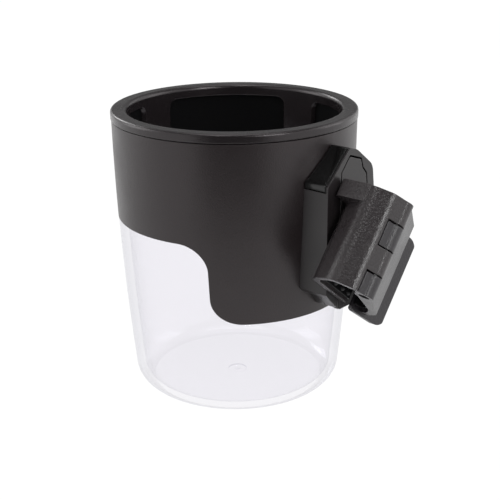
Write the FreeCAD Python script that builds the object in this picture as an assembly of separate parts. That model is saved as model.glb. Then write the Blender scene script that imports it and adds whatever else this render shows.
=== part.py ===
import FreeCAD, Part
import math
import os

from FreeCAD import Vector

# Clip-on cup holder: a clear cup in a black sleeve, a receiver on the sleeve's side, and a hinged tube clamp
# on a tongue that plugs into the receiver from below.
# Millimetres. +Z is up along the cup's axis, the origin is the centre of the cup's base, and +X points out
# through the receiver. A standing cup is the rest position, with the clamp turned as it is usually carried.

# ---- holder: the round body ----
HOLDER_HEIGHT = 108.5
RIM_RADIUS = 46.0
SIDE_LEAN = 0.0044          # how fast the side draws in at the rim
SIDE_BOW_RADIUS = 1040.0    # the side is a very shallow arc
BASE_FILLET = 8.0

SLEEVE_SETBACK = 0.25       # the rim stands out this far over the sleeve
SLEEVE_WALL = 1.8           # from the rim's surface to the sleeve's inner face
SLEEVE_TOP = 105.0
SLEEVE_LOW_EDGE = 38.4      # lower edge below the receiver
SLEEVE_HIGH_EDGE = 68.2     # lower edge round the rest of the cup
SLEEVE_STEP_X = 21.5        # where the lower edge steps between the two
SLEEVE_STEP_RADII = (10.0, 9.5)

CUP_SETBACK = 0.3           # the bare part of the cup is all but flush with the sleeve
CUP_COVERED_INSET = 2.0     # the covered part is recessed for the sleeve
CUP_INNER_INSET = 3.65
CUP_TOP = 104.2
CUP_FLOOR = 2.6
CUP_FLOOR_FILLET = 5.0
CUP_EDGE_GAP = 0.2          # between the sleeve's lower edge and the step in the cup
GATE_RECESS_RADIUS = 3.6
GATE_RECESS_DEPTH = 0.6
GATE_MARK_RADIUS = 0.9
GATE_MARK_ROOT_RADIUS = 1.2

RIM_WIDTH = 6.0
COLLAR_WALL = 1.6
COLLAR_STEP_Z = 104.3       # underside of the collar's step, just above the cup's top
COLLAR_SEAM = 105.4         # underside of the rim, above the sleeve's top
COLLAR_BOTTOM = 74.0
RIM_OUTER_FILLET = 1.0
RIM_INNER_FILLET = 1.5
WINDOW_COUNT = 4
WINDOW_PHASE = 47.0         # degrees from the receiver to the first window's centre
WINDOW_HALF_WIDTH = 23.0
WINDOW_BOTTOM = 82.0
WINDOW_TOP = 104.2
WINDOW_CORNER = 3.0
PAD_OUTER_INSET = 3.7
PAD_INNER_INSET = 4.35
PAD_SWEEP = 80.0            # degrees round the wall
PAD_BOTTOM = 79.0
PAD_TOP = 104.0

# ---- receiver: outlines are (y, z) or (y, z, corner radius), seen from outside ----
PLATE_X = 54.0              # front face of the receiver
RECEIVER_BACK_X = 38.0      # outlines start here, inside the sleeve, and are cut back to its surface
SEAT_GAP = 0.02             # between the receiver and the sleeve it is screwed to
SEAT_OVERHANG = 5.0         # the receiver's back follows the side this far below the sleeve's edge
LIP_THICKNESS = 1.8         # front plate
BUTTON_LIP = 0.8            # front plate beside the button
HOUSING_OUTLINE = [(-13.2, 50.3, 0.6), (-13.2, 89.7, 0.5), (-0.9, 101.2, 0.6), (3.3, 99.9, 5.0),
                   (12.9, 92.6, 5.5), (14.2, 83.0, 4.0), (14.2, 48.0, 1.5), (8.6, 42.0, 1.0),
                   (-5.0, 42.0, 0.8)]
CAVITY_OUTLINE = [(-11.6, 88.9), (-0.6, 99.0), (2.9, 98.3, 3.0), (11.6, 91.8, 4.0),
                  (12.6, 84.0, 1.5), (12.6, 30.0), (-11.6, 30.0)]
TONGUE_SLOT = [(-5.9, 30.0), (-5.9, 93.4, 0.8), (-1.0, 98.8, 1.0), (6.0, 96.4, 1.0), (7.1, 92.9, 0.6),
               (9.4, 90.4, 1.2), (10.0, 86.0), (10.0, 30.0)]
BUTTON_OPENING = [(-15.0, 87.5), (-10.1, 87.5), (-10.1, 88.9), (0.3, 98.6), (1.5, 98.6), (1.5, 103.0),
                  (-15.0, 103.0)]
BASE_FRONT_X = 47.5
BASE_OUTLINE = [(-11.4, 51.6), (-11.4, 86.6), (-8.4, 89.4), (-0.2, 97.0), (2.7, 97.9, 3.0), (11.3, 91.6, 4.0),
                (12.3, 84.0, 1.5), (12.3, 46.6), (8.4, 42.6), (-5.0, 42.6)]
SCREW_HEIGHTS = (50.0, 72.0)
SCREW_HEAD_RADIUS = 2.2
SCREW_HEAD_HEIGHT = 1.2
SCREW_RADIUS = 1.25
SCREW_TIP_X = 47.2
SCREW_HOLE_END_X = 47.3
SCREW_SINK = 0.1            # the head lies this far below the sleeve's inner face
SCREW_CLEARANCE = 0.15      # round the screw in the sleeve
SCREW_SOCKET_RADIUS = 0.9
SCREW_SOCKET_DEPTH = 0.7

# ---- release button, its spring and the latch leaf ----
BUTTON_TRAVEL = 1.4
BUTTON_FRONT_X = 53.0
BUTTON_BACK_X = 40.0
BUTTON_SLEEVE_GAP = 0.5
BUTTON_OUTLINE = [(-13.3, 87.8, 0.4), (-13.3, 89.9, 1.3), (-1.0, 101.3, 0.5), (-0.2, 100.5, 0.3),
                  (-11.9, 89.3, 0.3), (-11.9, 87.8, 0.3)]
BUTTON_RIB = [(-10.9, 90.6), (-9.3, 92.6), (-8.7, 92.6), (-7.9, 91.8), (-7.9, 90.6)]
BUTTON_RIB_X = (47.6, 48.5)
SPRING_POST = [(-8.2, 87.2), (-8.2, 90.2), (-7.2, 90.2), (-7.2, 87.2)]
SPRING_POST_FRONT_X = 51.7
BUTTON_COIL_PLACE = (50.0, -11.5, 88.7)
BUTTON_COIL_RADIUS = 1.2
BUTTON_WIRE_RADIUS = 0.18
BUTTON_COIL_PITCH = 0.72
BUTTON_COIL_LENGTH = 3.0
LEAF_BACK_X = 46.9
LEAF_THICKNESS = 0.5
LEAF_FOOT_DEPTH = 0.7
LEAF_OUTLINE = [(-6.0, 77.0), (-6.0, 92.6, 0.5), (0.0, 92.6, 0.5), (0.0, 77.0)]
LEAF_FOOT = [(-6.0, 77.0), (-6.0, 78.0), (0.0, 78.0), (0.0, 77.0)]
LEAF_TAB = [(-7.8, 90.2), (-7.8, 91.6), (-5.9, 91.6), (-5.9, 90.2)]
LEAF_POCKET = [(-6.4, 76.5), (-6.4, 89.8), (-8.3, 89.8), (-8.3, 99.0), (0.4, 99.0), (0.4, 76.5)]
LEAF_POCKET_X = 45.0
LATCH_Y = (-5.0, -1.0)
LATCH_Z = (84.0, 86.5)
LATCH_NOSE_X = 48.8
LATCH_NOSE_FLAT = 0.8       # height of the nose's flat tip above its ramp
CATCH_GAP = 0.4             # round the nose in the tongue's catch

# ---- tongue ----
TONGUE_BACK_X = 47.9
TONGUE_FLANGE_X = 51.9
TONGUE_FACE = [(-5.4, 42.6, 0.6), (-5.4, 93.1, 0.6), (-0.9, 98.1, 0.8), (5.6, 95.9, 0.8), (6.6, 92.6, 0.6),
               (8.9, 90.1, 1.0), (9.5, 86.0), (9.5, 44.0, 1.0), (8.0, 42.6, 0.6)]
TONGUE_FLANGE = [(-11.2, 49.0, 0.5), (-11.2, 70.0), (-7.8, 74.0), (-7.8, 84.0), (-5.4, 86.5),
                 (-5.4, 93.1, 0.6), (-0.9, 98.1, 0.8), (5.6, 95.9, 0.8), (6.6, 92.6, 0.6), (8.9, 90.1, 1.0),
                 (11.9, 84.0), (11.9, 46.6, 0.6), (7.8, 42.6, 0.6), (-4.8, 42.6, 0.4)]
PIVOT_Y = 2.0
PIVOT_Z = 66.0
HUB_RADIUS = 6.8
HUB_SOCKET_RADIUS = 7.1
HUB_SOCKET_X = 51.6
HUB_BACK_X = 52.25          # the hub runs on the friction washer
FRICTION_WASHER_X = (51.6, 52.2)
NUT_POCKET_RADIUS = 6.0
NUT_POCKET_X = 50.2
SPRING_WASHER_X = (49.55, 50.15)
SPRING_WASHER_RADIUS = 5.5
NUT_X = (48.3, 49.5)
NUT_WIDTH = 9.0
NUT_BORE_RADIUS = 2.52
PIVOT_RADIUS = 2.5
PIVOT_BORE_RADIUS = 2.56
PIVOT_HEAD_RADIUS = 4.6
PIVOT_NECK_X = 55.5         # where the head's cone starts
PIVOT_HEAD_X = 57.4         # the head's flat face
PIVOT_HEAD_GAP = 0.1
PIVOT_SOCKET_REACH = 1.7    # centre to corner of the hexagonal socket
PIVOT_SOCKET_DEPTH = 1.5

# ---- tube clamp: u runs across the channel, v along the hinge, w outwards; the origin is the swivel ----
CLAMP_TILT = 39.0           # degrees the hinge leans from upright
CLAMP_TOP = 14.9
CLAMP_BOTTOM = -20.2
KNUCKLE_ENDS = (14.9, 6.2, -3.1, -12.4, -20.2)
BODY_KNUCKLES = (0, 2)      # counted from the top end
JAW_KNUCKLES = (1, 3)
HINGE_U = -11.3
HINGE_W = 20.3
BARREL_RADIUS = 3.4
BARREL_GAP = 0.6            # round a knuckle and between knuckles
PIN_RADIUS = 1.25
PIN_FIT_BORE = 1.26
PIN_RUNNING_BORE = 1.31
PIN_END_RECESS = 1.5
PIN_RECESS_RADIUS = 2.0
BODY_SECTION = [(5.9, 0.8, 0.6), (-14.8, 0.8, 1.0), (-18.9, 4.6, 3.0), (-23.0, 12.9, 6.0), (-18.9, 20.3, 4.0),
                (-11.9, 23.6), (-11.3, 16.9), (-17.4, 18.4, 2.5), (-21.1, 12.9, 5.0), (-17.0, 5.4, 2.5),
                (-14.6, 3.6, 1.0), (5.9, 3.6, 0.6)]
SHOULDER_SECTION = [(-22.8, 0.8, 1.5), (-22.95, 4.0), (-22.9, 12.6), (-20.9, 12.8), (-18.0, 5.2),
                    (-14.8, 2.2), (-14.8, 0.8)]
SHOULDER_LENGTH = 6.3
JAW_SECTION = [(-10.8, 17.2), (7.7, 12.7, 20.0), (13.8, 7.6, 1.6), (14.4, 4.9, 0.8), (15.6, 3.4), (17.6, 4.0),
               (17.3, 6.0, 0.8), (15.4, 8.8), (11.4, 13.7, 2.0), (-10.8, 22.9)]
JAW_PLATE_SECTION = [(10.2, 3.1, 0.4), (10.8, 1.75, 0.5), (28.0, 6.0, 0.9), (27.5, 8.0, 0.9), (17.3, 5.5),
                     (14.6, 4.7), (11.2, 3.9)]
JAW_PLATE_TOP = 13.9        # the toe and finger tab, in one plate: it stops short of the jaw's top end
JAW_PLATE_BOTTOM = -21.3    # and reaches past its bottom end
TOE_CORNER = 2.5
TAB_CORNER = 5.0
KNUCKLE_TAIL = [(-16.7, 19.2, 0.5), (-16.6, 20.95, 0.5), (-11.6, 23.3), (-11.3, 18.0)]
TAIL_SLOT = [(-17.4, 14.0), (-17.4, 24.0), (-11.3, 26.0), (-11.3, 14.0)]
BODY_PAD_SECTION = [(5.2, 3.65, 0.3), (-14.6, 3.65, 0.3), (-15.2, 4.2), (-14.2, 4.75), (5.2, 4.75, 0.3)]
JAW_PAD_SECTION = [(-6.6, 16.1), (7.65, 12.63, 20.0), (13.7, 7.55, 1.6), (14.2, 5.0, 0.8), (10.3, 3.72),
                   (10.1, 4.75, 0.3), (13.0, 5.5, 0.6), (12.6, 7.1, 0.8), (7.2, 11.7, 19.0), (-6.9, 15.0)]
PAD_END_GAP = 1.4
DOME_RADIUS = 1.4
DOME_HEIGHT = 0.9
DOME_ROOT = 0.2             # how deep a dome reaches into its pad
DOME_ROWS = 6
DOME_END_GAP = 2.0          # from the pad's end to the first row's centre
BODY_DOME_COLUMNS = (-11.8, -6.6, -1.4, 3.0)
JAW_DOME_COLUMNS = (-3.6, 1.2, 5.6)

# ---- the jaw's coil spring, wound round the pin inside the lower body knuckle ----
JAW_COIL_RADIUS = 1.95
JAW_WIRE_RADIUS = 0.25
JAW_COIL_PITCH = 0.62
JAW_COIL_END_GAP = 0.4
JAW_SPRING_POCKET_RADIUS = 2.6
JAW_SPRING_SEAT = 3.0       # solid length of the knuckle below the pocket

WIRE_SIDES = 8
FAR = 80.0                  # larger than anything cut with it
EXTRA = 1.0                 # how far a cutter runs past what it cuts


# ---- outlines with rounded corners ----
def rounded_wire(corners, place):
    """A closed wire through the corners; place(a, b) puts an outline point into space."""
    stops = []
    count = len(corners)
    for index, corner in enumerate(corners):
        here = Vector(corner[0], corner[1], 0)
        radius = corner[2] if len(corner) > 2 else 0.0
        if radius == 0.0:
            stops.append((here, None, here))
            continue
        before = corners[index - 1]
        after = corners[(index + 1) % count]
        back = (Vector(before[0], before[1], 0) - here).normalize()
        ahead = (Vector(after[0], after[1], 0) - here).normalize()
        half_angle = back.getAngle(ahead) / 2
        inward = (back + ahead).normalize()
        cut = radius / math.tan(half_angle)
        middle = here + inward * (radius / math.sin(half_angle) - radius)
        stops.append((here + back * cut, middle, here + ahead * cut))
    edges = []
    for index, (entry, middle, leave) in enumerate(stops):
        if middle is not None:
            arc = Part.Arc(place(entry.x, entry.y), place(middle.x, middle.y), place(leave.x, leave.y))
            edges.append(arc.toShape())
        following = stops[(index + 1) % count][0]
        if leave.distanceToPoint(following) > 1e-6:
            edges.append(Part.makeLine(place(leave.x, leave.y), place(following.x, following.y)))
    return Part.Wire(edges)


def prism_x(corners, start, end):
    """Extrude a (y, z) outline along X."""
    wire = rounded_wire(corners, lambda y, z: Vector(start, y, z))
    return Part.Face(wire).extrude(Vector(end - start, 0, 0))


def prism_v(corners, start, end):
    """Extrude a clamp (u, w) section along the hinge direction, in the clamp's own axes."""
    wire = rounded_wire(corners, lambda u, w: Vector(u, start, w))
    return Part.Face(wire).extrude(Vector(0, end - start, 0))


def rod(radius, start, end, axis="x", at=(0.0, 0.0)):
    """A cylinder from start to end along X or along the clamp's v, centred on the other two coordinates."""
    if axis == "x":
        return Part.makeCylinder(radius, end - start, Vector(start, at[0], at[1]), Vector(1, 0, 0))
    return Part.makeCylinder(radius, end - start, Vector(at[0], start, at[1]), Vector(0, 1, 0))


# ---- the holder's side, shared by everything that follows it ----
def side_radius(height, inset=0.0):
    depth = HOLDER_HEIGHT - height
    return RIM_RADIUS - SIDE_LEAN * depth - depth ** 2 / (2 * SIDE_BOW_RADIUS) - inset


def side_arc(low, high, inset):
    heights = (low, (low + high) / 2, high)
    points = [Vector(side_radius(height, inset), 0, height) for height in heights]
    return Part.Arc(*points).toShape()


def side_ring(low, high, outer_inset, inner_inset, start=0.0, sweep=360.0):
    """A wall that follows the holder's side between two insets."""
    outer = side_arc(low, high, outer_inset)
    inner = side_arc(low, high, inner_inset)
    top = Part.makeLine(outer.Vertexes[-1].Point, inner.Vertexes[-1].Point)
    bottom = Part.makeLine(inner.Vertexes[0].Point, outer.Vertexes[0].Point)
    face = Part.Face(Part.Wire(Part.sortEdges([outer, top, inner, bottom])[0]))
    face.rotate(Vector(0, 0, 0), Vector(0, 0, 1), start)
    return face.revolve(Vector(0, 0, 0), Vector(0, 0, 1), sweep)


def side_core(low, high, inset):
    """The solid inside the holder's side, from the axis out."""
    side = side_arc(low, high, inset)
    corners = [side.Vertexes[-1].Point, Vector(0, 0, high), Vector(0, 0, low), side.Vertexes[0].Point]
    lines = [Part.makeLine(a, b) for a, b in zip(corners, corners[1:])]
    face = Part.Face(Part.Wire(Part.sortEdges([side] + lines)[0]))
    return face.revolve(Vector(0, 0, 0), Vector(0, 0, 1), 360)


def round_edges(shape, radius, wanted):
    """Fillet the circular edges for which wanted(edge) is true."""
    chosen = [edge for edge in shape.Edges if edge.Length > 1.0 and wanted(edge)]
    return shape.makeFillet(radius, chosen)


def ring_edge(height, radius):
    """A test for a full circle at a height with about the given radius."""
    def wanted(edge):
        box = edge.BoundBox
        flat = box.ZLength < 0.01 and abs(box.ZMin - height) < 0.01
        return flat and abs(box.XLength / 2 - radius) < 0.3
    return wanted


def sleeve_zone(gap):
    """Everything above the sleeve's stepped lower edge, grown by a gap."""
    upper, lower = SLEEVE_STEP_RADII
    step_x = SLEEVE_STEP_X - gap
    high_edge = SLEEVE_HIGH_EDGE - gap
    low_edge = SLEEVE_LOW_EDGE - gap
    corners = [(-FAR, 2 * FAR), (-FAR, high_edge), (step_x, high_edge, upper - gap),
               (step_x, low_edge, lower + gap), (FAR, low_edge), (FAR, 2 * FAR)]
    wire = rounded_wire(corners, lambda x, z: Vector(x, -FAR, z))
    return Part.Face(wire).extrude(Vector(0, 2 * FAR, 0))


def clear_cup():
    outside = side_core(0.0, CUP_TOP, CUP_SETBACK)
    outside = round_edges(outside, BASE_FILLET, ring_edge(0.0, side_radius(0.0, CUP_SETBACK)))
    inside = side_core(CUP_FLOOR, CUP_TOP + EXTRA, CUP_INNER_INSET)
    floor_radius = side_radius(CUP_FLOOR, CUP_INNER_INSET)
    inside = round_edges(inside, CUP_FLOOR_FILLET, ring_edge(CUP_FLOOR, floor_radius))
    recess = side_ring(SLEEVE_LOW_EDGE - EXTRA, CUP_TOP + EXTRA, -EXTRA, CUP_COVERED_INSET)
    recess = recess.common(sleeve_zone(CUP_EDGE_GAP))
    gate = Part.makeCylinder(GATE_RECESS_RADIUS, GATE_RECESS_DEPTH)
    gate = gate.cut(Part.makeCone(GATE_MARK_RADIUS, GATE_MARK_ROOT_RADIUS, GATE_RECESS_DEPTH))
    return outside.cut(inside).cut(recess).cut(gate)


def screw_shape(height):
    """A countersunk screw along X whose head lies in the sleeve's inner face."""
    head_x = side_radius(height, SLEEVE_WALL) + SCREW_SINK
    centre = Vector(head_x, 0, height)
    head = Part.makeCone(SCREW_HEAD_RADIUS, SCREW_RADIUS, SCREW_HEAD_HEIGHT, centre, Vector(1, 0, 0))
    shank = rod(SCREW_RADIUS, head_x + SCREW_HEAD_HEIGHT, SCREW_TIP_X, at=(0.0, height))
    socket = rod(SCREW_SOCKET_RADIUS, head_x, head_x + SCREW_SOCKET_DEPTH, at=(0.0, height))
    return head.fuse(shank).cut(socket)


def screw_seat(height):
    """The countersink and clearance hole for one screw."""
    head_x = side_radius(height, SLEEVE_WALL) + SCREW_SINK
    head_radius = SCREW_HEAD_RADIUS + SCREW_CLEARANCE
    hole_radius = SCREW_RADIUS + SCREW_CLEARANCE
    mouth = rod(head_radius, head_x - EXTRA, head_x, at=(0.0, height))
    centre = Vector(head_x, 0, height)
    cone = Part.makeCone(head_radius, hole_radius, SCREW_HEAD_HEIGHT, centre, Vector(1, 0, 0))
    hole = rod(hole_radius, head_x, PLATE_X, at=(0.0, height))
    return mouth.fuse([cone, hole])


def outer_sleeve():
    sleeve = side_ring(SLEEVE_LOW_EDGE, SLEEVE_TOP, SLEEVE_SETBACK, SLEEVE_WALL).common(sleeve_zone(0.0))
    for height in SCREW_HEIGHTS:
        sleeve = sleeve.cut(screw_seat(height))
    return sleeve


def rim_collar():
    rim = side_ring(COLLAR_SEAM, HOLDER_HEIGHT, 0.0, RIM_WIDTH)
    rim = round_edges(rim, RIM_OUTER_FILLET, ring_edge(HOLDER_HEIGHT, RIM_RADIUS))
    rim = round_edges(rim, RIM_INNER_FILLET, ring_edge(HOLDER_HEIGHT, RIM_RADIUS - RIM_WIDTH))
    step = side_ring(COLLAR_STEP_Z, COLLAR_SEAM, CUP_COVERED_INSET, RIM_WIDTH)
    wall = side_ring(COLLAR_BOTTOM, COLLAR_STEP_Z, RIM_WIDTH - COLLAR_WALL, RIM_WIDTH)
    collar = rim.fuse([step, wall]).removeSplitter()
    for index in range(WINDOW_COUNT):
        collar = collar.cut(window(WINDOW_PHASE + index * 360.0 / WINDOW_COUNT))
    return collar


def window(angle):
    """A rounded opening through the collar's wall, at an angle round the axis."""
    half = WINDOW_HALF_WIDTH
    corners = [(-half, WINDOW_BOTTOM, WINDOW_CORNER), (-half, WINDOW_TOP, WINDOW_CORNER),
               (half, WINDOW_TOP, WINDOW_CORNER), (half, WINDOW_BOTTOM, WINDOW_CORNER)]
    opening = prism_x(corners, RIM_RADIUS / 2, RIM_RADIUS)
    opening.rotate(Vector(0, 0, 0), Vector(0, 0, 1), angle)
    return opening


def grip_pad(index):
    middle = WINDOW_PHASE + index * 360.0 / WINDOW_COUNT
    return side_ring(PAD_BOTTOM, PAD_TOP, PAD_OUTER_INSET, PAD_INNER_INSET, middle - PAD_SWEEP / 2, PAD_SWEEP)


# ---- receiver ----
def clear_of_sleeve(shape, gap):
    """Cut away whatever comes nearer to the sleeve's surface than the gap."""
    return shape.cut(side_core(SLEEVE_LOW_EDGE - SEAT_OVERHANG, SLEEVE_TOP, SLEEVE_SETBACK - gap))


def receiver_base():
    """The block screwed to the sleeve, with the leaf's pocket and the post the button's spring pushes on."""
    base = clear_of_sleeve(prism_x(BASE_OUTLINE, RECEIVER_BACK_X, BASE_FRONT_X), SEAT_GAP)
    base = base.fuse(prism_x(SPRING_POST, LEAF_BACK_X, SPRING_POST_FRONT_X))
    base = base.cut(prism_x(LEAF_POCKET, LEAF_POCKET_X, BASE_FRONT_X + EXTRA))
    for height in SCREW_HEIGHTS:
        base = base.cut(rod(SCREW_RADIUS, RECEIVER_BACK_X, SCREW_HOLE_END_X, at=(0.0, height)))
    return base


def receiver_housing():
    """The shell over the base: open at the bottom for the tongue and at one shoulder for the button."""
    housing = clear_of_sleeve(prism_x(HOUSING_OUTLINE, RECEIVER_BACK_X, PLATE_X), SEAT_GAP)
    housing = housing.cut(prism_x(CAVITY_OUTLINE, RECEIVER_BACK_X - EXTRA, PLATE_X - LIP_THICKNESS))
    housing = housing.cut(prism_x(TONGUE_SLOT, PLATE_X - LIP_THICKNESS - EXTRA, PLATE_X + EXTRA))
    return housing.cut(prism_x(BUTTON_OPENING, RECEIVER_BACK_X - EXTRA, PLATE_X - BUTTON_LIP))


def receiver_screws():
    return Part.makeCompound([screw_shape(height) for height in SCREW_HEIGHTS])


def release_button():
    """The cap over the receiver's shoulder, with the rib that pushes the leaf's tab inward."""
    cap = clear_of_sleeve(prism_x(BUTTON_OUTLINE, BUTTON_BACK_X, BUTTON_FRONT_X), BUTTON_SLEEVE_GAP)
    return cap.fuse(prism_x(BUTTON_RIB, *BUTTON_RIB_X))


def helix_coil(coil_radius, wire_radius, pitch, length):
    """An eight-sided wire coiled along +Z from the origin."""
    path = Part.makeHelix(pitch, length, coil_radius)
    corners = []
    for side in range(WIRE_SIDES + 1):
        angle = 2 * math.pi * side / WIRE_SIDES
        corners.append(Vector(coil_radius + wire_radius * math.cos(angle), 0, wire_radius * math.sin(angle)))
    return Part.Wire(path).makePipeShell([Part.makePolygon(corners)], True, True)


def button_spring():
    coil = helix_coil(BUTTON_COIL_RADIUS, BUTTON_WIRE_RADIUS, BUTTON_COIL_PITCH, BUTTON_COIL_LENGTH)
    coil.rotate(Vector(0, 0, 0), Vector(1, 0, 0), -90)
    coil.translate(Vector(*BUTTON_COIL_PLACE))
    return coil


def latch_leaf():
    """A spring strip with a foot, a tab for the button's rib and a nose that catches the tongue."""
    front_x = LEAF_BACK_X + LEAF_THICKNESS
    leaf = prism_x(LEAF_OUTLINE, LEAF_BACK_X, front_x)
    foot = prism_x(LEAF_FOOT, LEAF_BACK_X - LEAF_FOOT_DEPTH, front_x)
    tab = prism_x(LEAF_TAB, LEAF_BACK_X, front_x)
    low, high = LATCH_Z
    ramp = [(LEAF_BACK_X, low), (front_x, low), (LATCH_NOSE_X, high - LATCH_NOSE_FLAT), (LATCH_NOSE_X, high),
            (LEAF_BACK_X, high)]
    wire = rounded_wire(ramp, lambda x, z: Vector(x, LATCH_Y[0], z))
    nose = Part.Face(wire).extrude(Vector(0, LATCH_Y[1] - LATCH_Y[0], 0))
    return leaf.fuse([foot, tab, nose]).removeSplitter()


# ---- tongue and swivel ----
def at_pivot(radius, start, end):
    return rod(radius, start, end, at=(PIVOT_Y, PIVOT_Z))


def tongue():
    """The plug: its flange runs behind the housing's lip, its face fills the slot in the front plate."""
    body = prism_x(TONGUE_FLANGE, TONGUE_BACK_X, TONGUE_FLANGE_X)
    body = body.fuse(prism_x(TONGUE_FACE, TONGUE_FLANGE_X, PLATE_X)).removeSplitter()
    body = body.cut(at_pivot(HUB_SOCKET_RADIUS, HUB_SOCKET_X, PLATE_X + EXTRA))
    body = body.cut(at_pivot(NUT_POCKET_RADIUS, TONGUE_BACK_X - EXTRA, NUT_POCKET_X))
    body = body.cut(at_pivot(PIVOT_BORE_RADIUS, NUT_POCKET_X - EXTRA, HUB_SOCKET_X + EXTRA))
    left, right = LATCH_Y[0] - CATCH_GAP, LATCH_Y[1] + CATCH_GAP
    low, high = LATCH_Z[0] - CATCH_GAP, LATCH_Z[1] + CATCH_GAP
    catch = [(left, low), (left, high), (right, high), (right, low)]
    return body.cut(prism_x(catch, TONGUE_BACK_X - EXTRA, LATCH_NOSE_X + CATCH_GAP))


def washer(outer_radius, span):
    """A washer on the pivot; span is its two x values."""
    return at_pivot(outer_radius, *span).cut(at_pivot(PIVOT_BORE_RADIUS, *span))


def friction_washer():
    return washer(HUB_RADIUS, FRICTION_WASHER_X)


def spring_washer():
    return washer(SPRING_WASHER_RADIUS, SPRING_WASHER_X)


def hexagon(reach, start, end):
    """A hexagonal bar on the pivot's axis; reach is from its centre to a corner."""
    angles = [math.radians(60 * side) for side in range(6)]
    corners = [(PIVOT_Y + reach * math.cos(angle), PIVOT_Z + reach * math.sin(angle)) for angle in angles]
    return prism_x(corners, start, end)


def pivot_nut():
    reach = NUT_WIDTH / 2 / math.cos(math.radians(30))
    return hexagon(reach, *NUT_X).cut(at_pivot(NUT_BORE_RADIUS, *NUT_X))


def pivot_cone(gap):
    """The pivot screw's countersunk head, grown by a gap."""
    length = PIVOT_HEAD_X - PIVOT_NECK_X
    base = Vector(PIVOT_NECK_X, PIVOT_Y, PIVOT_Z)
    return Part.makeCone(PIVOT_RADIUS + gap, PIVOT_HEAD_RADIUS + gap, length, base, Vector(1, 0, 0))


def pivot_screw():
    screw = pivot_cone(0.0).fuse(at_pivot(PIVOT_RADIUS, NUT_X[0], PIVOT_NECK_X))
    return screw.cut(hexagon(PIVOT_SOCKET_REACH, PIVOT_HEAD_X - PIVOT_SOCKET_DEPTH, PIVOT_HEAD_X + EXTRA))


# ---- tube clamp ----
def place_clamp(shape):
    """Move a shape from the clamp's axes (u, v, w) to the holder's."""
    tilt = math.radians(CLAMP_TILT)
    across = Vector(0, math.cos(tilt), -math.sin(tilt))
    along = Vector(0, math.sin(tilt), math.cos(tilt))
    outward = Vector(1, 0, 0)
    matrix = FreeCAD.Matrix(across.x, along.x, outward.x, PLATE_X,
                            across.y, along.y, outward.y, PIVOT_Y,
                            across.z, along.z, outward.z, PIVOT_Z, 0, 0, 0, 1)
    return shape.transformed(matrix)


def knuckle_span(index):
    """The v range of a knuckle, counted from the clamp's top end."""
    return KNUCKLE_ENDS[index + 1], KNUCKLE_ENDS[index]


def at_hinge(radius, start, end):
    return rod(radius, start, end, axis="v", at=(HINGE_U, HINGE_W))


def clearance_span(index):
    """The v range a knuckle needs, with half the gap at each end; open at the clamp's ends."""
    low, high = knuckle_span(index)
    low_gap = FAR if index == len(KNUCKLE_ENDS) - 2 else BARREL_GAP / 2
    high_gap = FAR if index == 0 else BARREL_GAP / 2
    return low - low_gap, high + high_gap


def clearance_at(index):
    """What the other half's knuckle needs, with the gap all round."""
    return at_hinge(BARREL_RADIUS + BARREL_GAP, *clearance_span(index))


def clamp_body():
    """The hub on the swivel, the floor and back of the channel, and two of the four hinge knuckles."""
    body = prism_v(BODY_SECTION, CLAMP_BOTTOM, CLAMP_TOP)
    barrel = at_hinge(BARREL_RADIUS, CLAMP_BOTTOM, CLAMP_TOP)
    shoulder = prism_v(SHOULDER_SECTION, CLAMP_TOP - SHOULDER_LENGTH, CLAMP_TOP)
    body = body.fuse([barrel, shoulder])
    for index in JAW_KNUCKLES:
        body = body.cut(clearance_at(index)).cut(prism_v(TAIL_SLOT, *clearance_span(index)))
    body = body.cut(at_hinge(PIN_FIT_BORE, -FAR, FAR))
    spring_low, spring_high = spring_span()
    body = body.cut(at_hinge(JAW_SPRING_POCKET_RADIUS, spring_low, spring_high + EXTRA))
    body = place_clamp(body).fuse(at_pivot(HUB_RADIUS, HUB_BACK_X, PLATE_X + EXTRA))
    mouth = at_pivot(PIVOT_HEAD_RADIUS + PIVOT_HEAD_GAP, PIVOT_HEAD_X, PIVOT_HEAD_X + EXTRA)
    bore = at_pivot(PIVOT_BORE_RADIUS, HUB_BACK_X - EXTRA, PIVOT_HEAD_X)
    return body.cut(pivot_cone(PIVOT_HEAD_GAP).fuse([mouth, bore]))


def clamp_jaw():
    """The curved arm over the channel, its toe and finger tab, and the other two knuckles."""
    jaw = prism_v(JAW_SECTION, CLAMP_BOTTOM, CLAMP_TOP)
    for index in JAW_KNUCKLES:
        low, high = knuckle_span(index)
        bottom = low if low == CLAMP_BOTTOM else low + BARREL_GAP / 2
        top = high - BARREL_GAP / 2
        jaw = jaw.fuse([at_hinge(BARREL_RADIUS, bottom, top), prism_v(KNUCKLE_TAIL, bottom, top)])
    for index in BODY_KNUCKLES:
        jaw = jaw.cut(clearance_at(index))
    jaw = jaw.fuse(jaw_plate())
    jaw = jaw.cut(at_hinge(PIN_RUNNING_BORE, -FAR, FAR))
    jaw = jaw.cut(at_hinge(PIN_RECESS_RADIUS, CLAMP_BOTTOM - EXTRA, CLAMP_BOTTOM + PIN_END_RECESS))
    return place_clamp(jaw)


def jaw_plate():
    """The flat toe and finger tab, with rounded corners in plan."""
    plate = prism_v(JAW_PLATE_SECTION, JAW_PLATE_BOTTOM, JAW_PLATE_TOP)
    toe_u = JAW_PLATE_SECTION[0][0]
    tip_u = JAW_PLATE_SECTION[2][0]
    plan = [(toe_u, JAW_PLATE_BOTTOM, TOE_CORNER), (tip_u, JAW_PLATE_BOTTOM, TAB_CORNER),
            (tip_u, JAW_PLATE_TOP, TAB_CORNER), (toe_u, JAW_PLATE_TOP, TOE_CORNER)]
    outline = Part.Face(rounded_wire(plan, lambda u, v: Vector(u, v, 0.0)))
    return plate.common(outline.extrude(Vector(0, 0, FAR)))


def hinge_pin():
    return place_clamp(at_hinge(PIN_RADIUS, CLAMP_BOTTOM + PIN_END_RECESS, CLAMP_TOP - PIN_END_RECESS))


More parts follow.
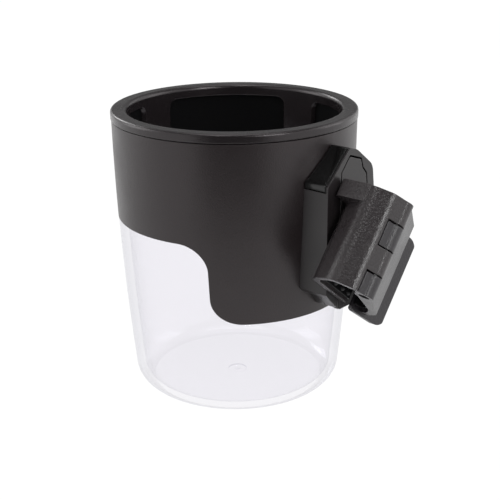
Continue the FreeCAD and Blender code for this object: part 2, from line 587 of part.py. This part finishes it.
def spring_span():
    """The v range of the spring's pocket, in the upper end of the lower body knuckle."""
    low, high = knuckle_span(BODY_KNUCKLES[1])
    return low + JAW_SPRING_SEAT, high - BARREL_GAP


def jaw_spring():
    low, high = spring_span()
    coil = helix_coil(JAW_COIL_RADIUS, JAW_WIRE_RADIUS, JAW_COIL_PITCH, high - low - 2 * JAW_COIL_END_GAP)
    coil.rotate(Vector(0, 0, 0), Vector(1, 0, 0), -90)
    coil.translate(Vector(HINGE_U, low + JAW_COIL_END_GAP, HINGE_W))
    return place_clamp(coil)


def pad_domes(columns, start, end, side):
    """Rows of domes on the flat pad face from (u, w) start to end; side is their direction in w, +1 or -1."""
    slope = (end[1] - start[1]) / (end[0] - start[0])
    scale = side / math.hypot(1.0, slope)
    out = Vector(-slope * scale, 0, scale)
    first = CLAMP_BOTTOM + PAD_END_GAP + DOME_END_GAP
    last = CLAMP_TOP - PAD_END_GAP - DOME_END_GAP
    domes = []
    for u in columns:
        for row in range(DOME_ROWS):
            v = first + (last - first) * row / (DOME_ROWS - 1)
            foot = Vector(u, v, start[1] + slope * (u - start[0]))
            sphere = Part.makeSphere(DOME_RADIUS, foot - out * (DOME_RADIUS - DOME_HEIGHT))
            slab = Part.makeCylinder(DOME_RADIUS, DOME_RADIUS + DOME_ROOT, foot - out * DOME_ROOT, out)
            domes.append(sphere.common(slab))
    return domes


def body_pad():
    pad = prism_v(BODY_PAD_SECTION, CLAMP_BOTTOM + PAD_END_GAP, CLAMP_TOP - PAD_END_GAP)
    domes = pad_domes(BODY_DOME_COLUMNS, BODY_PAD_SECTION[-2], BODY_PAD_SECTION[-1], 1)
    return place_clamp(pad.fuse(domes))


def jaw_pad():
    pad = prism_v(JAW_PAD_SECTION, CLAMP_BOTTOM + PAD_END_GAP, CLAMP_TOP - PAD_END_GAP)
    domes = pad_domes(JAW_DOME_COLUMNS, JAW_PAD_SECTION[-1], JAW_PAD_SECTION[-2], -1)
    return place_clamp(pad.fuse(domes))


def all_parts():
    parts = {
        "clear_cup": clear_cup(),
        "outer_sleeve": outer_sleeve(),
        "rim_collar": rim_collar(),
        "receiver_base": receiver_base(),
        "receiver_housing": receiver_housing(),
        "receiver_screws": receiver_screws(),
        "release_button": release_button(),
        "button_spring": button_spring(),
        "latch_leaf": latch_leaf(),
        "tongue": tongue(),
        "friction_washer": friction_washer(),
        "spring_washer": spring_washer(),
        "pivot_nut": pivot_nut(),
        "pivot_screw": pivot_screw(),
        "clamp_body": clamp_body(),
        "clamp_jaw": clamp_jaw(),
        "hinge_pin": hinge_pin(),
        "jaw_spring": jaw_spring(),
        "body_pad": body_pad(),
        "jaw_pad": jaw_pad(),
    }
    for index in range(WINDOW_COUNT):
        parts["grip_pad_%d" % (index + 1)] = grip_pad(index)
    return parts


os.makedirs("parts", exist_ok=True)
for name, shape in all_parts().items():
    shape.exportStep("parts/%s.step" % name)
    print(name, len(shape.Solids), shape.isValid(), round(shape.Volume, 1))
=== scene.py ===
import math

import bpy
from mathutils import Matrix, Vector


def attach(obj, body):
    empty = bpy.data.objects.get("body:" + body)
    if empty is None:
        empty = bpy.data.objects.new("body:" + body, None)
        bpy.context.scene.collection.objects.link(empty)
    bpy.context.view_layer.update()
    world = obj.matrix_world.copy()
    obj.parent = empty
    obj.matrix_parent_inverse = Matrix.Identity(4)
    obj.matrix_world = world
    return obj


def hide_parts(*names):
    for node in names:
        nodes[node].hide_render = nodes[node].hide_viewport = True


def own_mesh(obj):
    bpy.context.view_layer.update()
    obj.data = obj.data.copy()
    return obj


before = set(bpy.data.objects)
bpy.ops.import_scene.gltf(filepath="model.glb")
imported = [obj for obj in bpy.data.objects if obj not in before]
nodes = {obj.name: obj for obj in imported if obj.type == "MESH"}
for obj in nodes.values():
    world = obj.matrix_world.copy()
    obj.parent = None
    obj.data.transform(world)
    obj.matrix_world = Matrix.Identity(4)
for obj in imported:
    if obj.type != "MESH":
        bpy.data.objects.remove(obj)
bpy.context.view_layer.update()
scene = bpy.context.scene

# ---- camera: the photograph's viewpoint, in the row frame ----
CAMERA_PLACE = Vector((0.2608, -0.2896, 0.1926))
CAMERA_FORWARD = Vector((-0.6193, 0.7072, -0.3411))
CAMERA_ROLL = -0.00775
CAMERA_LENS = 76.49
CAMERA_SENSOR = 36.0
UP = Vector((0, 0, 1))


def make_camera():
    forward = CAMERA_FORWARD.normalized()
    right = forward.cross(UP).normalized()
    up = right.cross(forward)
    rolled_right = math.cos(CAMERA_ROLL) * right + math.sin(CAMERA_ROLL) * up
    rolled_up = math.cos(CAMERA_ROLL) * up - math.sin(CAMERA_ROLL) * right
    turn = Matrix((rolled_right, rolled_up, -forward)).transposed().to_4x4()
    data = bpy.data.cameras.new("camera")
    data.lens = CAMERA_LENS
    data.sensor_width = CAMERA_SENSOR
    camera = bpy.data.objects.new("camera", data)
    camera.matrix_world = Matrix.Translation(CAMERA_PLACE) @ turn
    scene.collection.objects.link(camera)
    scene.camera = camera


# ---- studio: white surround and glowing white table, with flags that only the gloss sees ----
WHITE = (1.0, 1.0, 1.0)
WORLD_STRENGTH = 1.0
FLOOR_SIZE = 12.0
FLOOR_COLOUR = (0.02, 0.02, 0.02)
FLOOR_GLOW = 1.0
FLOOR_DROP = 0.0003         # the floor lies just under the cup, so that the two faces never coincide
STAGE_ROUGHNESS = 0.9

LIGHT_TARGET = (0.02, 0.0, 0.06)
LIGHTS = (                  # name, place, size in metres, power in watts
    ("key_softbox", (1.07, -0.29, 0.64), (0.3, 0.3), 5.0),
    ("top_softbox", (-0.1, 0.1, 1.3), (1.0, 1.0), 5.5),
    ("edge_softbox", (-1.0, 0.24, 0.6), (0.35, 0.35), 2.0),
    ("shine_strip", (0.24, -0.54, 1.2), (0.15, 0.15), 1.5),
    ("left_softbox", (-0.85, -0.55, 0.35), (0.5, 0.9), 3.0),
    ("right_softbox", (0.62, 0.78, 0.45), (0.5, 0.9), 2.0),
)

FLAG_COLOUR = (0.01, 0.01, 0.01)
TABLE_FLAG = (0.24, 1.0)              # the dark end of the table, towards the camera: nearest and farthest
TABLE_FLAG_HALF_WIDTH = (0.13, 0.62)
TABLE_FLAG_LIFT = 0.002
WALL_FLAG_HEIGHT = 1.5
BACK_FLAG_DISTANCE = 1.2              # a grey flag behind the object
BACK_FLAG_HALF_WIDTH = 0.62
BACK_FLAG_HEIGHTS = (0.12, 1.5)
BACK_FLAG_GLOW = 0.25
CEILING_FLAG_HALF_WIDTH = (1.2, 1.4)  # along and across the camera's direction
CEILING_FLAG_HEIGHT = 1.5
CEILING_FLAG_GLOW = 0.08


def make_world():
    world = bpy.data.worlds.new("studio")
    world.use_nodes = True
    background = world.node_tree.nodes["Background"]
    background.inputs["Color"].default_value = (*WHITE, 1.0)
    background.inputs["Strength"].default_value = WORLD_STRENGTH
    scene.world = world
    scene.view_settings.view_transform = "Standard"
    scene.view_settings.look = "None"


def make_lights():
    for name, place, size, power in LIGHTS:
        data = bpy.data.lights.new(name, "AREA")
        data.shape = "RECTANGLE"
        data.size, data.size_y = size
        data.energy = power
        light = bpy.data.objects.new(name, data)
        turn = (Vector(LIGHT_TARGET) - Vector(place)).to_track_quat("-Z", "Y").to_matrix().to_4x4()
        light.matrix_world = Matrix.Translation(place) @ turn
        scene.collection.objects.link(light)


def stage_mesh(name, corners, colour, glow):
    """A flat piece of the studio."""
    mesh = bpy.data.meshes.new(name)
    mesh.from_pydata(corners, [], [tuple(range(len(corners)))])
    thing = bpy.data.objects.new(name, mesh)
    scene.collection.objects.link(thing)
    material, _, shader = new_material(name)
    shader.inputs["Base Color"].default_value = (*colour, 1.0)
    shader.inputs["Roughness"].default_value = STAGE_ROUGHNESS
    shader.inputs["Specular IOR Level"].default_value = 0.0
    shader.inputs["Emission Color"].default_value = (*WHITE, 1.0)
    shader.inputs["Emission Strength"].default_value = glow
    mesh.materials.append(material)
    return thing


def make_floor():
    half = FLOOR_SIZE / 2
    corners = [(x * half, y * half, -FLOOR_DROP) for x, y in ((-1, -1), (1, -1), (1, 1), (-1, 1))]
    stage_mesh("floor", corners, FLOOR_COLOUR, FLOOR_GLOW)


def make_flags():
    """Dark and grey flags on the camera's side, behind and above, seen by glossy reflections alone."""
    toward = Vector((-CAMERA_FORWARD.x, -CAMERA_FORWARD.y, 0)).normalized()
    aside = toward.cross(UP)
    near, far = (toward * distance + UP * TABLE_FLAG_LIFT for distance in TABLE_FLAG)
    near_half, far_half = (aside * half for half in TABLE_FLAG_HALF_WIDTH)
    table = [near - near_half, near + near_half, far + far_half, far - far_half]
    top = UP * WALL_FLAG_HEIGHT
    wall = [table[3], table[2], table[2] + top, table[3] + top]
    low, high = (UP * height for height in BACK_FLAG_HEIGHTS)
    left = -toward * BACK_FLAG_DISTANCE - aside * BACK_FLAG_HALF_WIDTH
    right = -toward * BACK_FLAG_DISTANCE + aside * BACK_FLAG_HALF_WIDTH
    back = [left + low, right + low, right + high, left + high]
    along, across = (step * half for step, half in zip((toward, aside), CEILING_FLAG_HALF_WIDTH))
    centre = UP * CEILING_FLAG_HEIGHT
    ceiling = [centre + along + across, centre + along - across,
               centre - along - across, centre - along + across]
    for name, corners, glow in (("table_flag", table, 0.0), ("wall_flag", wall, 0.0),
                                ("back_flag", back, BACK_FLAG_GLOW),
                                ("ceiling_flag", ceiling, CEILING_FLAG_GLOW)):
        flag = stage_mesh(name, corners, FLAG_COLOUR, glow)
        flag.visible_camera = False
        flag.visible_diffuse = False
        flag.visible_transmission = False
        flag.visible_shadow = False


# ---- node helpers ----
def new_material(name):
    material = bpy.data.materials.new(name)
    material.use_nodes = True
    tree = material.node_tree
    return material, tree, tree.nodes["Principled BSDF"]


def object_place(tree):
    return tree.nodes.new("ShaderNodeTexCoord").outputs["Object"]


def noise_node(tree, scale, detail=2.0, roughness=0.5):
    noise = tree.nodes.new("ShaderNodeTexNoise")
    noise.inputs["Scale"].default_value = scale
    noise.inputs["Detail"].default_value = detail
    noise.inputs["Roughness"].default_value = roughness
    tree.links.new(object_place(tree), noise.inputs["Vector"])
    return noise.outputs["Fac"]


def spread(tree, value, low, high, start=0.3, end=0.7):
    """Map a value onto a range; the defaults suit a noise."""
    ramp = tree.nodes.new("ShaderNodeMapRange")
    ramp.inputs["From Min"].default_value = start
    ramp.inputs["From Max"].default_value = end
    ramp.inputs["To Min"].default_value = low
    ramp.inputs["To Max"].default_value = high
    tree.links.new(value, ramp.inputs["Value"])
    return ramp.outputs["Result"]


def maths(tree, operation, first, second=None):
    """One step of arithmetic; each input is a socket or a number."""
    step = tree.nodes.new("ShaderNodeMath")
    step.operation = operation
    for socket, value in zip(step.inputs, (first, second)):
        if isinstance(value, bpy.types.NodeSocket):
            tree.links.new(value, socket)
        elif value is not None:
            socket.default_value = value
    return step.outputs["Value"]


def two_colours(tree, factor, first, second):
    """A mix by a factor; each colour is a socket or three numbers."""
    mix = tree.nodes.new("ShaderNodeMix")
    mix.data_type = "RGBA"
    tree.links.new(factor, mix.inputs["Factor"])
    for socket, value in ((mix.inputs["A"], first), (mix.inputs["B"], second)):
        if isinstance(value, bpy.types.NodeSocket):
            tree.links.new(value, socket)
        else:
            socket.default_value = (*value, 1.0)
    return mix.outputs["Result"]


def scaled(colour, share):
    return tuple(channel * share for channel in colour)


# ---- black mouldings ----
GLOSS_PATCH_SCALE = 55.0    # slow changes of gloss over the surface
GLOSS_PATCH_DETAIL = 3.0
GLOSS_PATCH_RANGE = 0.05
GRAIN_NOISE_ROUGHNESS = 0.6
GRAIN_STRENGTH = 0.6
EDGE_SAMPLES = 4
EDGE_FULL = 0.75            # agreement of the plain and the softened normal at a full edge
EDGE_NONE = 0.99            # and on a flat stretch
WARM_GLOSS = (1.0, 0.94, 0.96)


def edge_mask(tree, radius):
    """1 where the surface turns a sharp edge and 0 on flat stretches, and the softened normal."""
    bevel = tree.nodes.new("ShaderNodeBevel")
    bevel.samples = EDGE_SAMPLES
    bevel.inputs["Radius"].default_value = radius
    geometry = tree.nodes.new("ShaderNodeNewGeometry")
    dot = tree.nodes.new("ShaderNodeVectorMath")
    dot.operation = "DOT_PRODUCT"
    tree.links.new(bevel.outputs["Normal"], dot.inputs[0])
    tree.links.new(geometry.outputs["Normal"], dot.inputs[1])
    return spread(tree, dot.outputs["Value"], 1.0, 0.0, EDGE_FULL, EDGE_NONE), bevel.outputs["Normal"]


def moulded(name, colour, roughness, grain_size, grain_depth, edge_radius,
            specular=0.5, mottle=0.12, edge_highlight_gain=2.0, gloss_tint=WHITE):
    """Moulded plastic: a fine spark-eroded grain, slow changes of gloss, and edges that catch the light on a
    softened normal, with a painted highlight: their base colour is painted lighter.
    """
    material, tree, shader = new_material(name)
    shader.inputs["Specular IOR Level"].default_value = specular
    shader.inputs["Specular Tint"].default_value = (*gloss_tint, 1.0)
    slow = noise_node(tree, GLOSS_PATCH_SCALE, GLOSS_PATCH_DETAIL)
    fine = noise_node(tree, 1.0 / grain_size, roughness=GRAIN_NOISE_ROUGHNESS)
    gloss = spread(tree, slow, roughness - GLOSS_PATCH_RANGE, roughness + GLOSS_PATCH_RANGE)
    tree.links.new(gloss, shader.inputs["Roughness"])
    mask, soft_normal = edge_mask(tree, edge_radius)
    shade = two_colours(tree, fine, scaled(colour, 1 - mottle), scaled(colour, 1 + mottle))
    # painted highlight: on sharp edges the base colour is raised to the colour times the edge lift
    painted_edge_highlight = two_colours(tree, mask, shade, scaled(colour, edge_highlight_gain))
    tree.links.new(painted_edge_highlight, shader.inputs["Base Color"])
    bump = tree.nodes.new("ShaderNodeBump")
    bump.inputs["Strength"].default_value = GRAIN_STRENGTH
    bump.inputs["Distance"].default_value = grain_depth
    tree.links.new(fine, bump.inputs["Height"])
    tree.links.new(soft_normal, bump.inputs["Normal"])
    tree.links.new(bump.outputs["Normal"], shader.inputs["Normal"])
    return material


# ---- steel ----
LINE_DETAIL = 4.0
LINE_GLOSS_RANGE = 0.08
LINE_SHADE = 0.85


def metal(name, colour, roughness, line_size):
    """Plated or drawn steel with faint lines."""
    material, tree, shader = new_material(name)
    shader.inputs["Metallic"].default_value = 1.0
    lines = noise_node(tree, 1.0 / line_size, LINE_DETAIL)
    gloss = spread(tree, lines, roughness - LINE_GLOSS_RANGE, roughness + LINE_GLOSS_RANGE)
    tree.links.new(gloss, shader.inputs["Roughness"])
    tree.links.new(two_colours(tree, lines, scaled(colour, LINE_SHADE), colour), shader.inputs["Base Color"])
    return material


# ---- clear plastic; the holder's side, in metres, is as the CAD source has it ----
HOLDER_HEIGHT = 0.1085
RIM_RADIUS = 0.046
SIDE_LEAN = 0.0044
SIDE_BOW_RADIUS = 1.04
BASE_FILLET = 0.008
CLEAR_WALL = 0.0035
OUTER_FACE_TINT = (0.948, 0.943, 0.957)
OUTER_EDGE_TINT = (0.87, 0.87, 0.89)
INNER_FACE_TINT = (0.980, 0.977, 0.989)
INNER_EDGE_TINT = (0.95, 0.95, 0.955)
CLEAR_EDGE_START = 0.55
CLEAR_GLOSS = (0.75, 0.75, 0.78)
CLEAR_ROUGHNESS = (0.02, 0.07)
CLEAR_PATCH_SCALE = 40.0
INNER_REFLECTION = 0.5
CLEAR_REFLECTANCE = 0.035   # looking straight at the surface
SCHLICK_POWER = 5.0
LEVEL_ENOUGH = 0.995        # upward share of the normal on a level face


def flat_or_smooth_normal(tree):
    """The smooth normal on walls and fillets, the plain one on level faces, and 1 where it is level."""
    geometry = tree.nodes.new("ShaderNodeNewGeometry")
    parts = tree.nodes.new("ShaderNodeSeparateXYZ")
    tree.links.new(geometry.outputs["True Normal"], parts.inputs["Vector"])
    level = maths(tree, "GREATER_THAN", maths(tree, "ABSOLUTE", parts.outputs["Z"]), LEVEL_ENOUGH)
    choice = tree.nodes.new("ShaderNodeMix")
    choice.data_type = "VECTOR"
    tree.links.new(level, choice.inputs["Factor"])
    tree.links.new(geometry.outputs["Normal"], choice.inputs["A"])
    tree.links.new(geometry.outputs["True Normal"], choice.inputs["B"])
    return choice.outputs["Result"], level


def outside_mask(tree):
    """1 on the cup's outer skin and 0 on its inner one, by the distance to its base's rounded corner."""
    def squared(value):
        return maths(tree, "MULTIPLY", value, value)

    parts = tree.nodes.new("ShaderNodeSeparateXYZ")
    tree.links.new(object_place(tree), parts.inputs["Vector"])
    x, y, z = (parts.outputs[axis] for axis in "XYZ")
    radius = maths(tree, "SQRT", maths(tree, "ADD", squared(x), squared(y)))
    depth = maths(tree, "SUBTRACT", HOLDER_HEIGHT, z)
    bow = maths(tree, "DIVIDE", squared(depth), 2 * SIDE_BOW_RADIUS)
    upright = maths(tree, "ADD", radius, maths(tree, "ADD", bow, maths(tree, "MULTIPLY", depth, SIDE_LEAN)))
    across = maths(tree, "MAXIMUM", maths(tree, "SUBTRACT", upright, RIM_RADIUS - BASE_FILLET), 0.0)
    down = maths(tree, "MAXIMUM", maths(tree, "SUBTRACT", BASE_FILLET, z), 0.0)
    from_corner = maths(tree, "ADD", squared(across), squared(down))
    return maths(tree, "GREATER_THAN", from_corner, (BASE_FILLET - CLEAR_WALL / 2) ** 2)


def clear_plastic(name):
    """Clear moulded plastic. Light goes straight through. The outer wall carries the tint, which deepens
    where it is seen on edge. Every face reflects by Schlick's rule, the inner and level ones less."""
    material, tree, shader = new_material(name)
    shader.inputs["Base Color"].default_value = (*CLEAR_GLOSS, 1.0)
    shader.inputs["Metallic"].default_value = 1.0
    slow = noise_node(tree, CLEAR_PATCH_SCALE)
    tree.links.new(spread(tree, slow, *CLEAR_ROUGHNESS), shader.inputs["Roughness"])
    normal, level = flat_or_smooth_normal(tree)
    tree.links.new(normal, shader.inputs["Normal"])
    layer = tree.nodes.new("ShaderNodeLayerWeight")
    tree.links.new(normal, layer.inputs["Normal"])
    facing = layer.outputs["Facing"]
    outer_wall = maths(tree, "MULTIPLY", outside_mask(tree), maths(tree, "SUBTRACT", 1.0, level))
    edge = spread(tree, facing, 0.0, 1.0, CLEAR_EDGE_START, 1.0)
    inner_tint = two_colours(tree, edge, INNER_FACE_TINT, INNER_EDGE_TINT)
    outer_tint = two_colours(tree, edge, OUTER_FACE_TINT, OUTER_EDGE_TINT)
    through = tree.nodes.new("ShaderNodeBsdfTransparent")
    tree.links.new(two_colours(tree, outer_wall, inner_tint, outer_tint), through.inputs["Color"])
    grazing = maths(tree, "POWER", facing, SCHLICK_POWER)
    share = spread(tree, outer_wall, INNER_REFLECTION, 1.0, 0.0, 1.0)
    reflection = maths(tree, "MULTIPLY", spread(tree, grazing, CLEAR_REFLECTANCE, 1.0, 0.0, 1.0), share)
    mix = tree.nodes.new("ShaderNodeMixShader")
    tree.links.new(reflection, mix.inputs["Fac"])
    tree.links.new(through.outputs["BSDF"], mix.inputs[1])
    tree.links.new(shader.outputs["BSDF"], mix.inputs[2])
    tree.links.new(mix.outputs["Shader"], tree.nodes["Material Output"].inputs["Surface"])
    return material


# ---- which piece has which finish ----
def paint_nodes():
    """Each moulding gives its colour, roughness, grain size, grain depth and edge radius, in metres."""
    sleeve = moulded("sleeve_satin", (0.0098, 0.0072, 0.0076), 0.34, 0.0005, 0.00012, 0.0004,
                     mottle=0.3, gloss_tint=WARM_GLOSS)
    rim = moulded("rim_satin", (0.0085, 0.0068, 0.0074), 0.25, 0.0005, 0.00010, 0.0005,
                  mottle=0.3, gloss_tint=WARM_GLOSS)
    receiver = moulded("receiver_satin", (0.011, 0.0090, 0.0096), 0.36, 0.00025, 0.00003, 0.0004)
    clamp = moulded("clamp_grain", (0.021, 0.0178, 0.0188), 0.29, 0.0007, 0.00024, 0.0005, mottle=0.6)
    jaw = moulded("jaw_grain", (0.0155, 0.0136, 0.0160), 0.36, 0.0007, 0.00022, 0.0005, mottle=0.5)
    gloss = moulded("button_gloss", (0.003, 0.003, 0.003), 0.10, 0.0006, 0.000003, 0.0011)
    pad = moulded("lining_rubber", (0.0018, 0.0018, 0.0020), 0.70, 0.0004, 0.00003, 0.0003, specular=0.06)
    rubber = moulded("soft_rubber", (0.005, 0.005, 0.0055), 0.40, 0.0004, 0.00002, 0.0003, specular=0.2)
    washer = moulded("natural_nylon", (0.70, 0.69, 0.64), 0.45, 0.0004, 0.00002, 0.0002, edge_highlight_gain=1.1)
    steel = metal("zinc_steel", (0.55, 0.55, 0.54), 0.30, 0.0008)
    wire = metal("drawn_wire", (0.60, 0.60, 0.60), 0.24, 0.0005)
    clear = clear_plastic("clear_plastic")
    finishes = (
        (clear, ("clear_cup",)),
        (sleeve, ("outer_sleeve",)),
        (rim, ("rim_collar",)),
        (receiver, ("receiver_base", "receiver_housing", "tongue")),
        (clamp, ("clamp_body",)),
        (jaw, ("clamp_jaw",)),
        (gloss, ("release_button",)),
        (pad, ("grip_pad_1", "grip_pad_2", "grip_pad_3", "grip_pad_4")),
        (rubber, ("body_pad", "jaw_pad")),
        (washer, ("friction_washer",)),
        (steel, ("receiver_screws", "pivot_nut", "pivot_screw", "hinge_pin")),
        (wire, ("button_spring", "latch_leaf", "spring_washer", "jaw_spring")),
    )
    for material, names in finishes:
        for name in names:
            for slot in nodes[name].material_slots:
                slot.material = material


def make_button_coil():
    """A copy of the button's spring, attached to the holder's body, with its own mesh; the spring itself is
    hidden.
    """
    spring = nodes["button_spring"]
    coil = bpy.data.objects.new("button_coil", spring.data.copy())
    coil.matrix_world = spring.matrix_world
    scene.collection.objects.link(coil)
    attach(coil, "holder")
    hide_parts("button_spring")
    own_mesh(coil)


make_camera()
make_world()
make_lights()
make_floor()
make_flags()
paint_nodes()
make_button_coil()
